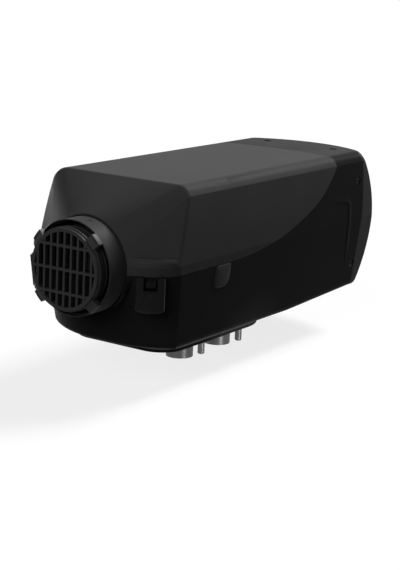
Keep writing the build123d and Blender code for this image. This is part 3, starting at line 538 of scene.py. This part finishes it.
# name, tone, roughness, marks per metre, their stretch, their depth in millimetres, strength of
# the pits, whether it is turned, CAD pieces
METALS = (
    ("foot_casting", (0.060, 0.060, 0.062), 0.6, 900, ALL_WAYS, 0.05, 0.4, False,
     ("mounting_foot",)),
    ("cast_aluminium", (0.42, 0.43, 0.44), 0.5, 900, ALL_WAYS, 0.05, 0.5, False,
     ("blower_housing", "side_channel_cover", "combustion_air_housing", "burner_flange",
      "heat_exchanger")),
    ("pipe_steel", (0.15, 0.15, 0.152), 0.52, 1500, ROUND_Z, 0.02, 0.0, True,
     ("exhaust_pipe", "combustion_air_pipe", "fuel_pipe", "combustion_tube", "temperature_sensor",
      "sensor_clip")),
    ("zinc_steel", (0.15, 0.15, 0.153), 0.36, 1500, ROUND_Z, 0.02, 0.0, True,
     ("mounting_studs",)),
    ("black_steel", (0.012, 0.012, 0.012), 0.5, 900, ALL_WAYS, 0.02, 0.0, False,
     ("hood_screws",)),
    ("bearing_steel", (0.60, 0.60, 0.61), 0.2, 1200, ALL_WAYS, 0.01, 0.0, False,
     ("motor_shaft", "front_bearing", "rear_bearing", "glow_plug", "spray_gauze")),
    ("magnet", (0.08, 0.08, 0.085), 0.5, 700, ALL_WAYS, 0.04, 0.0, False,
     ("rotor_magnet",)),
    ("lamination_steel", (0.22, 0.21, 0.20), 0.45, 1200, LAYERS_X, 0.06, 0.0, False,
     ("motor_stator",)),
)

for name, tone, roughness, marks, stretch, depth, pits, turned, pieces in METALS:
    finish = metal(name, tone, roughness, marks, stretch, depth * MM, pits, turned)
    dress(name, finish, pieces)

made = set(FINISHES.values())
bare = [name for name, node in NODES.items() if node.data.materials[0] not in made]
print("finishes:", len(FINISHES), "CAD pieces without one:", len(bare))

# %% [markdown]
# ## Pieces on the case
# Five small pieces get meshes of their own: the cover's two snap clips, the blanking plug, the
# step round a shallow field, and the set of hood screws. Booleans could cut them, but they leave
# hard rims. Each piece is instead a grid or a stack of rings in its own little frame, and every
# point is lifted off the CAD surface by the height that the real moulding has there, which gives
# rounded rims and shallow dishes. A ray cast at the CAD mesh from outside finds that surface.

# %% Adding a piece
def skin_of(name):
    """Search tree of a CAD piece's mesh, for casting rays at it."""
    mesh = NODES[name].data
    return BVHTree.FromPolygons([v.co for v in mesh.vertices], [p.vertices for p in mesh.polygons])


def add_piece(name, points, faces, finish, body, stands_for=None, sharp=40):
    """Closed mesh piece that rides on a body, and may stand for a CAD node."""
    mesh = bpy.data.meshes.new(name)
    mesh.from_pydata(points, [], faces)
    shaped = bmesh.new()
    shaped.from_mesh(mesh)
    bmesh.ops.recalc_face_normals(shaped, faces=shaped.faces)
    loose = sum(1 for edge in shaped.edges if not edge.is_manifold)
    shaped.to_mesh(mesh)
    shaped.free()
    mesh.shade_smooth()
    mesh.set_sharp_from_angle(angle=math.radians(sharp))
    mesh.materials.append(FINISHES[finish])
    piece = bpy.data.objects.new(name, mesh)
    bpy.context.scene.collection.objects.link(piece)
    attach(piece, body)
    if stands_for:
        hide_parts(stands_for)
    print(name, "faces:", len(mesh.polygons), "open edges:", loose)
    return piece


WALL_SKIN = skin_of("lower_shell")
COVER_CLIP_SKIN = skin_of("cover_clip_near")
print("skins to measure on: lower_shell, cover_clip_near")

# %% [markdown]
# ## Snap clips
# A clip is a springy tongue of the cover that follows the shell's round corner. Its window hooks
# over a catch, a dished thumb rest widens below it, a rib stiffens its outer edge and a thin lip
# runs along its lower end. It could be sculpted, but a formula keeps its edges crisp and its
# mirror image exact. The plain face is measured on the CAD clip and described by a short
# polynomial, and the details are heights on top of it. The grid of points is closer near the
# edges, where the height turns over in a small radius. The far clip is the near one mirrored.

# %% Plain face of the clip
# lengths of the clip are millimetres, across it and down from its top edge
CLIP_CORNER = Vector((-126.66, -41.2, 69.6))    # middle of the round of the shell's corner
CLIP_CORNER_RADIUS = 28.5
CLIP_ANGLE = math.atan2(-0.57, -0.82)           # the way the clip faces, seen from above
CLIP_RAY_START = 40
# places of the test rays: on the two legs beside the window, and beside the thumb rest below it
CLIP_TESTS = [(u, t) for u in (-10.8, -9.6, -8, -6.2, 6.2, 7.6, 8.8) for t in (1, 3, 5, 7, 9)]
CLIP_TESTS += [(u, t) for u in (-10.8, -10, -9.4) for t in (12, 15, 18, 21)]
clip_out = Vector((math.cos(CLIP_ANGLE), math.sin(CLIP_ANGLE), 0))
clip_across = Vector((-clip_out.y, clip_out.x, 0))
clip_origin = CLIP_CORNER + clip_out * CLIP_CORNER_RADIUS


def clip_point(across, down, height):
    """Point of the near clip in millimetres, from its own frame."""
    return clip_origin + clip_across * across - Vector((0, 0, down)) + clip_out * height


def face_terms(across, down):
    """Terms of the polynomial that describes the plain face."""
    return [1, down, across, across**2, across**4, across * down, across**2 * down]


def measure_clip_face():
    """Height of the CAD clip's plain face, as the weights of the terms above."""
    rows, heights = [], []
    for across, down in CLIP_TESTS:
        start = clip_point(across, down, CLIP_RAY_START)
        hit = COVER_CLIP_SKIN.ray_cast(start * MM, -clip_out)[0]
        if hit is not None:
            rows.append(face_terms(across, down))
            heights.append(CLIP_RAY_START - (hit / MM - start).length)
    weights = numpy.linalg.lstsq(numpy.array(rows), numpy.array(heights), rcond=None)[0]
    left = numpy.array(rows) @ weights - numpy.array(heights)
    print("clip face from", len(rows), "rays, worst fit", round(float(abs(left).max()), 3), "mm")
    return [float(w) for w in weights]


CLIP_FACE = measure_clip_face()

# %% Outline of the clip
CLIP_HALF = 11.3           # half its width
CLIP_DROP = 26.5           # its length at the sides
CLIP_BOW = 1.1             # how much longer it is in the middle
CLIP_END_ROUND = 1.6       # radius of its two lower corners
CLIP_THICK = 2.0
WINDOW_HALF = 5.25
WINDOW_DROP = 9.8
EDGE_ROUND = 0.45          # radius of all its edges


def clip_end(across):
    """How far down the clip reaches: slightly bowed, with round corners."""
    bow = CLIP_BOW * (1 - (across / CLIP_HALF) ** 2)
    into_corner = max(abs(across) - (CLIP_HALF - CLIP_END_ROUND), 0) / CLIP_END_ROUND
    return CLIP_DROP + bow - CLIP_END_ROUND * (1 - math.sqrt(max(1 - into_corner**2, 0)))


def edge_distance(across, down):
    """Distance to the nearest edge of the clip or of its window."""
    edge = min(CLIP_HALF - abs(across), clip_end(across) - down)
    if abs(across) > WINDOW_HALF or down > WINDOW_DROP:
        aside = max(abs(across) - WINDOW_HALF, 0)
        below = max(down - WINDOW_DROP, 0)
        edge = min(edge, math.hypot(aside, below))
    return edge


print("clip's length", round(clip_end(0), 1), "mm,",
      round(clip_end(CLIP_HALF - CLIP_END_ROUND), 1), "mm beside a corner")

# %% Relief of the clip
THUMB_TOP = 10.8           # the thumb rest starts here, below the window
THUMB_DEPTH = 1.5          # deepest at the top, running out to nothing at the lower end
THUMB_HALF = 4.3           # half its width at the top
THUMB_WIDENS = 4.6         # and how much that grows down to the end
THUMB_SIDE = 1.3           # width of its sloping sides
THUMB_LEAD = 0.6           # length of its upper slope
RIB_MIDDLE = 10.35
RIB_HALF = 0.75
RIB_RISE = 1.05
RIB_LEAD = (1.2, 0.9)      # the rib fades in at the top and out at the lower end
BEAD_MIDDLE = -10.7        # a low bead on the edge opposite the rib
BEAD_HALF = 0.6
BEAD_RISE = 0.3
BEAD_TOP = 9
BEAD_LEAD = 2
LIP_UP = 0.75              # middle of the lip, above the lower end
LIP_HALF = 0.65
LIP_RISE = 0.5
LIP_INSET = 0.6            # the lip stops short of the clip's sides and fades over a millimetre
LIP_LEAD = 1.0


def ease(value):
    """0..1 with a soft start and end."""
    value = min(max(value, 0.0), 1.0)
    return value * value * (3 - 2 * value)


def thumb_depth(across, down):
    """Depth of the thumb rest."""
    run = (down - THUMB_TOP) / (CLIP_DROP - THUMB_TOP)
    half = THUMB_HALF + THUMB_WIDENS * run
    sides = ease((half - abs(across)) / THUMB_SIDE)
    return THUMB_DEPTH * (1 - run) * sides * ease((down - THUMB_TOP + THUMB_LEAD) / THUMB_LEAD)


def rib_height(across, down):
    """Height of the rib, which is round across."""
    if abs(across - RIB_MIDDLE) >= RIB_HALF:
        return 0.0
    round_top = math.sqrt(1 - ((across - RIB_MIDDLE) / RIB_HALF) ** 2)
    lead_in, lead_out = RIB_LEAD
    return RIB_RISE * round_top * ease(down / lead_in) * ease((clip_end(across) - down) / lead_out)


def bead_height(across, down):
    """Height of the bead."""
    return BEAD_RISE * ease(1 - abs(across - BEAD_MIDDLE) / BEAD_HALF) * ease((down - BEAD_TOP) / BEAD_LEAD)


def lip_height(across, down):
    """Height of the lip along the lower end."""
    up = clip_end(across) - down
    sides = ease((CLIP_HALF - LIP_INSET - abs(across)) / LIP_LEAD)
    return LIP_RISE * ease(1 - abs(up - LIP_UP) / LIP_HALF) * sides


def clip_rise(across, down):
    """Height over the plain face, in millimetres."""
    rise = rib_height(across, down) - thumb_depth(across, down)
    rise += bead_height(across, down)
    rise += lip_height(across, down)
    edge = edge_distance(across, down)
    if edge < EDGE_ROUND:
        rise -= EDGE_ROUND - math.sqrt(max(EDGE_ROUND**2 - (EDGE_ROUND - edge) ** 2, 0))
    return rise


print("thumb rest", round(thumb_depth(0, THUMB_TOP), 2), "mm deep")
print("rib", round(rib_height(RIB_MIDDLE, THUMB_TOP), 2), "mm high, lip", LIP_RISE, "mm")

# %% Grid of the clip
GRID_ACROSS = 0.42
GRID_DOWN = 0.45
GRID_CLOSE = (0.0, 0.05, 0.18, 0.4)    # distances of the closer points beside each edge
GRID_LEAST = 0.03                      # points nearer to each other than this are left out
# A thin web joins the clip's two legs to the cover's wall. Each step gives the drop and the height
# of its upper side, then those of its lower side, counted from the clip's top and plain face.
ROOT_STEPS = ((-1.15, -5.08, -0.6, -5.08), (-0.95, -4.6, -0.45, -4.6), (-0.85, -3.0, -0.3, -3.2),
              (-0.75, -1.6, -0.15, -2.5), (-0.45, -0.5, 0.0, -2.05))


def steps(marks, pitch):
    """Values between marks at about a pitch, and closer just beside each mark."""
    values = set()
    for first, last in zip(marks, marks[1:]):
        for gap in GRID_CLOSE:
            values.update((round(first + gap, 3), round(last - gap, 3)))
        count = max(int((last - first) / pitch), 1)
        values.update(round(first + (last - first) * i / count, 3) for i in range(count + 1))
    ordered = sorted(values)
    return [v for i, v in enumerate(ordered) if i == 0 or v - ordered[i - 1] > GRID_LEAST]


CLIP_COLUMNS = steps((-CLIP_HALF, -WINDOW_HALF, WINDOW_HALF, CLIP_HALF), GRID_ACROSS)
CLIP_ROWS = steps((0, WINDOW_DROP, CLIP_DROP), GRID_DOWN)
print("clip's grid:", len(CLIP_COLUMNS), "by", len(CLIP_ROWS), "points, and", len(ROOT_STEPS), "web steps")

# %% Points of the clip
def plain_height(across, down):
    """Height of the plain face; above the clip's top it goes on as it is at the top."""
    return sum(w * t for w, t in zip(CLIP_FACE, face_terms(across, max(down, 0))))


def web_sides(across, step):
    """Drop and height of the web's upper and lower side at one of its steps."""
    upper, upper_rise, lower, lower_rise = step
    return ((upper, plain_height(across, upper) + upper_rise),
            (lower, plain_height(across, lower) + lower_rise))


def leg_sides(across, row):
    """Drop and height of the clip's outer and inner side; its rows bend to the bowed end."""
    stretch = max(row - WINDOW_DROP, 0) / (CLIP_DROP - WINDOW_DROP)
    down = row + stretch * (clip_end(across) - CLIP_DROP)
    plain = plain_height(across, down)
    return (down, plain + clip_rise(across, down)), (down, plain - CLIP_THICK)


def clip_points(side):
    """Outer and inner point of each place on the grid, one after the other."""
    points = []
    for across in CLIP_COLUMNS:
        sides = [web_sides(across, step) for step in ROOT_STEPS]
        sides += [leg_sides(across, row) for row in CLIP_ROWS]
        for down, height in (pair for both in sides for pair in both):
            place = clip_point(across, down, height) * MM
            points.append((place.x, place.y * -side, place.z))
    return points


print("clip's points:", len(clip_points(-1)))

# %% Faces of the clip
def in_window(i, j):
    """Whether a cell of the grid lies in the window, or between the legs above it."""
    middle = (CLIP_COLUMNS[i] + CLIP_COLUMNS[i + 1]) / 2
    return abs(middle) < WINDOW_HALF and j + 1 - len(ROOT_STEPS) <= CLIP_ROWS.index(WINDOW_DROP)


def clip_faces():
    """Faces of both sides, and a wall along every border between them."""
    rows = len(ROOT_STEPS) + len(CLIP_ROWS)
    faces, border = [], {}
    for i in range(len(CLIP_COLUMNS) - 1):
        for j in range(rows - 1):
            if in_window(i, j):
                continue
            cell = [(i, j), (i + 1, j), (i + 1, j + 1), (i, j + 1)]
            loop = [2 * (column * rows + row) for column, row in cell]
            faces.append(loop)
            faces.append([outer + 1 for outer in reversed(loop)])
            for start, end in zip(loop, loop[1:] + loop[:1]):
                if (end, start) in border:
                    del border[end, start]
                else:
                    border[start, end] = True
    for start, end in border:
        faces.append([end, start, start + 1, end + 1])
    return faces


def clip_mesh(side):
    """Points and faces of a clip; side is -1 for the near one and 1 for its mirror image."""
    points, faces = clip_points(side), clip_faces()
    used = sorted({index for face in faces for index in face})
    renumber = {old: new for new, old in enumerate(used)}
    return [points[i] for i in used], [[renumber[i] for i in face] for face in faces]


for side, body, node in ((-1, "clip_near", "cover_clip_near"), (1, "clip_far", "cover_clip_far")):
    points, faces = clip_mesh(side)
    add_piece("snap_" + body, points, faces, "clip_plastic", body, node)

# %% [markdown]
# ## Blanking plug
# The plug closes the shell's cable notch, where a harness can leave on this side. It is a soft
# cushion of rubber whose rim laps the notch by a millimetre. A rounded box with a bevel would
# look hard, so rings of one rounded outline, each smaller and higher than the last, make the
# crown, and the outermost ones turn down into the wall.

# %% Wall round the plug
RAY_START = 120            # millimetres outside the heater's middle plane
# x and z of the three test rays, in millimetres
WALL_TESTS = ((-90, 45), (-45, 45), (-66, 30))


def near_wall(x, z):
    """Point where a ray from the near side meets the shell, at x and z in millimetres."""
    return WALL_SKIN.ray_cast(Vector((x, -RAY_START, z)) * MM, Vector((0, 1, 0)))[0]


def wall_plane():
    """A point and the outward direction of the shell's wall round the plug."""
    hits = [near_wall(x, z) for x, z in WALL_TESTS]
    outwards = (hits[1] - hits[0]).cross(hits[2] - hits[0]).normalized()
    if outwards.y > 0:
        outwards.negate()
    return hits[0], outwards


WALL_PLACE, WALL_OUT = wall_plane()
print("wall round the plug at y", round(WALL_PLACE.y, 4), "facing", [round(v, 3) for v in WALL_OUT])

# %% Blanking plug
# millimetres
PLUG_X = (-77.6, -55.4)
PLUG_Z = (50.2, 69.6)
PLUG_CORNERS = (7.0, 8.2, 2.6, 2.2)       # radii: lower front, lower rear, upper rear, upper front
PLUG_ARC_POINTS = 9
# size of each ring as a share of the outline, and its height over the wall
PLUG_RINGS = ((1.0, -2.6), (1.0, 0.1), (0.985, 0.42), (0.955, 0.62), (0.91, 0.74), (0.82, 0.90),
              (0.68, 1.10), (0.50, 1.26), (0.28, 1.36), (0.12, 1.39))


def rounded_outline(span_x, span_z, corners):
    """Points round a rectangle whose four corners have their own radii."""
    (x0, x1), (z0, z1) = span_x, span_z
    middles = [(x0 + corners[0], z0 + corners[0]), (x1 - corners[1], z0 + corners[1]),
               (x1 - corners[2], z1 - corners[2]), (x0 + corners[3], z1 - corners[3])]
    outline = []
    for (x, z), radius, start in zip(middles, corners, (180, 270, 0, 90)):
        for i in range(PLUG_ARC_POINTS):    # a quarter of a circle from its starting angle
            angle = math.radians(start + 90 * i / (PLUG_ARC_POINTS - 1))
            outline.append((x + radius * math.cos(angle), z + radius * math.sin(angle)))
    return outline


def ring_faces(rings, count, first=0):
    """Faces between rings of points, with a cap on each end."""
    faces = []
    for ring in range(rings - 1):
        low = first + ring * count
        high = low + count
        for i in range(count):
            j = (i + 1) % count
            faces.append([low + i, low + j, high + j, high + i])
    last = first + (rings - 1) * count
    faces.append([first + i for i in range(count)])
    faces.append([last + i for i in range(count)])
    return faces


def make_blanking_plug():
    """Rings in the wall's plane, lifted along its outward direction."""
    outline = rounded_outline(PLUG_X, PLUG_Z, PLUG_CORNERS)
    middle = (sum(PLUG_X) / 2, sum(PLUG_Z) / 2)
    points = []
    for scale, height in PLUG_RINGS:
        for spot in outline:
            x, z = (m + (v - m) * scale for v, m in zip(spot, middle))
            flat = Vector((x * MM, 0, z * MM))
            aside = WALL_OUT.x * (flat.x - WALL_PLACE.x) + WALL_OUT.z * (flat.z - WALL_PLACE.z)
            flat.y = WALL_PLACE.y - aside / WALL_OUT.y
            points.append(flat + WALL_OUT * height * MM)
    faces = ring_faces(len(PLUG_RINGS), len(outline))
    return add_piece("notch_plug", points, faces, "plug_rubber", "chassis", "blanking_plug", sharp=60)


make_blanking_plug()

# %% [markdown]
# ## Label field
# On this side the shell has a shallow bare field. Only its upper and rear edges show, as one thin
# step with a round corner. A line in the bump would stay flat at a grazing angle, so the step is
# a slim strip of the same plastic: its inner side drops to the wall, its outer side runs out into
# the wall over some millimetres, and its height fades at both ends. Every point is found by a ray.

# %% Label field
# x and z of the edge in millimetres, from its front end round the corner to its lower end
FIELD_EDGE = ((97, 100.0), (113, 98.4), (129, 96.9), (134.6, 95.6), (137.6, 92.6), (138.3, 86),
              (141.8, 60), (144.1, 45), (147.0, 26))
FIELD_CURVE_POINTS = 8     # per run from one mark to the next
FIELD_STEP = 0.42          # its height in millimetres
FIELD_FADES = (0.25, 0.3)  # share of its length over which each end fades
# distance outwards from the edge, and share of the step's height; the last ones lie in the wall
FIELD_ACROSS = ((-0.34, -1.2), (-0.30, 0.3), (-0.20, 0.8), (-0.05, 1.0), (0.5, 0.97), (1.5, 0.82),
                (3.0, 0.52), (4.5, 0.24), (6.0, 0.05), (6.6, -1.2))


def smooth_path(marks):
    """Points on a smooth curve that passes through all the marks."""
    marks = [Vector(m) for m in marks]
    ends = [marks[0] * 2 - marks[1]] + marks + [marks[-1] * 2 - marks[-2]]
    path = []
    for a, b, c, d in zip(ends, ends[1:], ends[2:], ends[3:]):
        for i in range(FIELD_CURVE_POINTS):
            t = i / FIELD_CURVE_POINTS
            path.append(0.5 * (2 * b + (c - a) * t + (2 * a - 5 * b + 4 * c - d) * t**2
                               + (3 * b - a - 3 * c + d) * t**3))
    return path + [marks[-1]]


def make_label_field():
    """Strip along the edge, with one ring of points round it at each place."""
    path = smooth_path(FIELD_EDGE)
    fade_in, fade_out = FIELD_FADES
    points = []
    for i, spot in enumerate(path):
        ahead = (path[min(i + 1, len(path) - 1)] - path[max(i - 1, 0)]).normalized()
        outside = Vector((-ahead.y, ahead.x))
        share = i / (len(path) - 1)
        fade = ease(share / fade_in) * ease((1 - share) / fade_out)
        for away, part in FIELD_ACROSS:
            x, z = spot + outside * away
            rise = FIELD_STEP * (part * fade if part > 0 else part)
            points.append(near_wall(x, z) + Vector((0, -rise, 0)) * MM)
    faces = ring_faces(len(path), len(FIELD_ACROSS))
    # the strip takes the shell's plastic, whose darker tone is painted shade
    return add_piece("label_field", points, faces, "shell_plastic", "chassis", sharp=35)


make_label_field()

# %% [markdown]
# ## Hood screws
# Six black screws hold the hood. Each sits below the surface in its counterbore: a flat head with
# a rounded rim and a six-lobed socket. A socket could be cut by a boolean, but sweeping a profile
# round the screw's axis gives an even mesh at once: the profile holds a radius and a height, and
# the socket's rings swing in and out six times a turn.

# %% Hood screws
# millimetres: (x, y, z) of the surface round each screw, and the way out along its axis
SCREW_PLACES = [((163.2, side * 35.9, 138.4), (0, 0, 1)) for side in (-1, 1)]
SCREW_PLACES += [((x, side * y, z), (0, side, 0))
                 for x, y, z in ((155.5, 69.1, 113.2), (160.3, 64.78, 34.0)) for side in (-1, 1)]
# radius, height and depth of the lobes, from the shank's tip to the bottom of the socket
SCREW_PROFILE = ((0.3, -7.4, 0), (1.5, -6.6, 0), (1.5, -1.6, 0), (3.4, -1.55, 0), (3.45, -1.1, 0),
                 (3.3, -0.85, 0), (2.9, -0.7, 0), (1.75, -0.66, 0), (1.5, -0.7, 0.2),
                 (1.42, -1.45, 0.2), (0.5, -1.5, 0))
SCREW_SIDES = 48
SCREW_LOBES = 6


def screw_points(place, way):
    """Rings of points round one screw's axis."""
    axis = Vector(way)
    right = axis.cross(Vector((1, 0, 0))).normalized()
    ahead = axis.cross(right)
    points = []
    for radius, height, lobes in SCREW_PROFILE:
        for i in range(SCREW_SIDES):
            angle = math.tau * i / SCREW_SIDES
            reach = radius + lobes * math.cos(SCREW_LOBES * angle)
            aside = right * math.cos(angle) + ahead * math.sin(angle)
            spot = Vector(place) + axis * height + aside * reach
            points.append(spot * MM)
    return points


def make_hood_screws():
    """All six screws in one mesh, as they are one CAD piece."""
    points, faces = [], []
    for place, way in SCREW_PLACES:
        faces += ring_faces(len(SCREW_PROFILE), SCREW_SIDES, first=len(points))
        points += screw_points(place, way)
    return add_piece("lobed_hood_screws", points, faces, "black_steel", "chassis", "hood_screws", sharp=30)


make_hood_screws()
